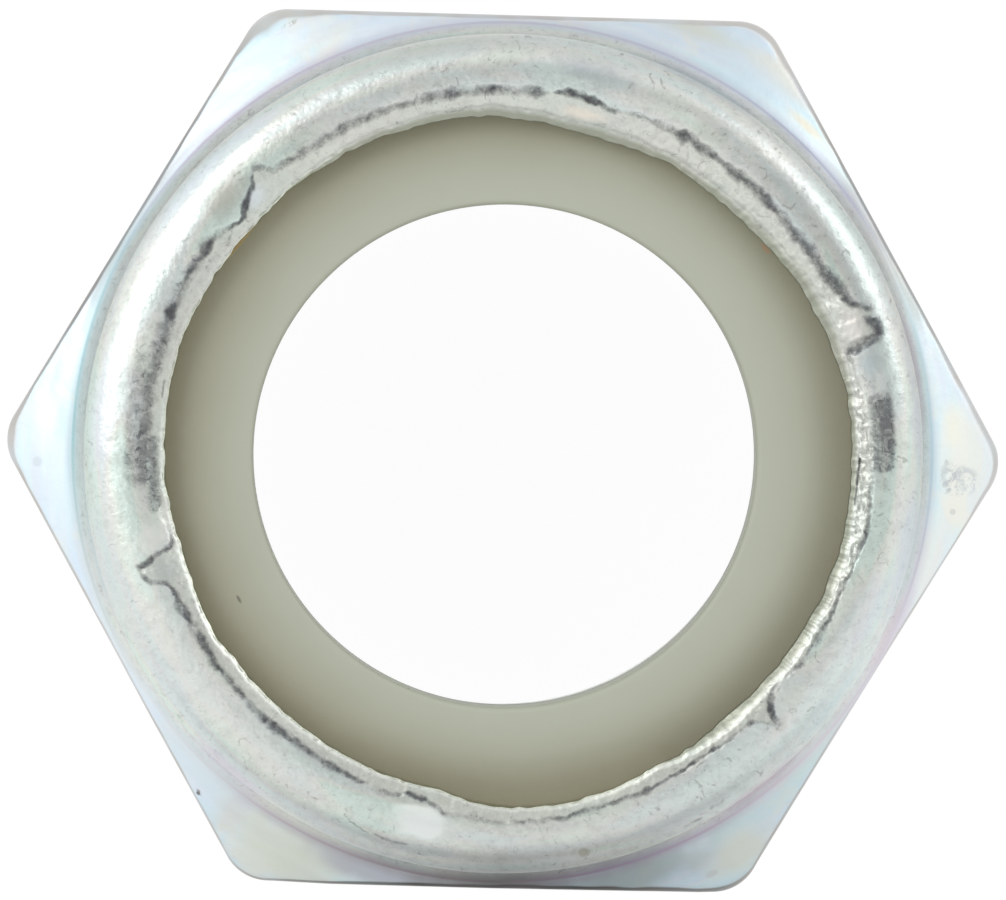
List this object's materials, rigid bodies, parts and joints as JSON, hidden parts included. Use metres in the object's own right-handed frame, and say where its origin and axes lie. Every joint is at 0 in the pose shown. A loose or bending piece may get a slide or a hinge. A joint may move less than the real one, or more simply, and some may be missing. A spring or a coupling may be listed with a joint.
{
  "type": "nylon insert lock nut",
  "caption": "Hexagon lock nut with a tapped bore and a thin rolled collar that traps a nylon ring, which grips the bolt's thread so that the nut can't shake loose.",
  "frame": {"origin": "centre of the bearing face, on the thread's axis", "axes": "+Z along the thread's axis towards the collar, +X towards a corner of the hexagon, +Y towards the middle of a flat"},
  "size_m": [0.0274, 0.024, 0.016],
  "materials": {
    "zinc_plated_steel": "satin",
    "nylon": "satin"
  },
  "bodies": {
    "root": {"nut_body": "zinc_plated_steel", "nylon_insert": "nylon"}
  },
  "joints": []
}
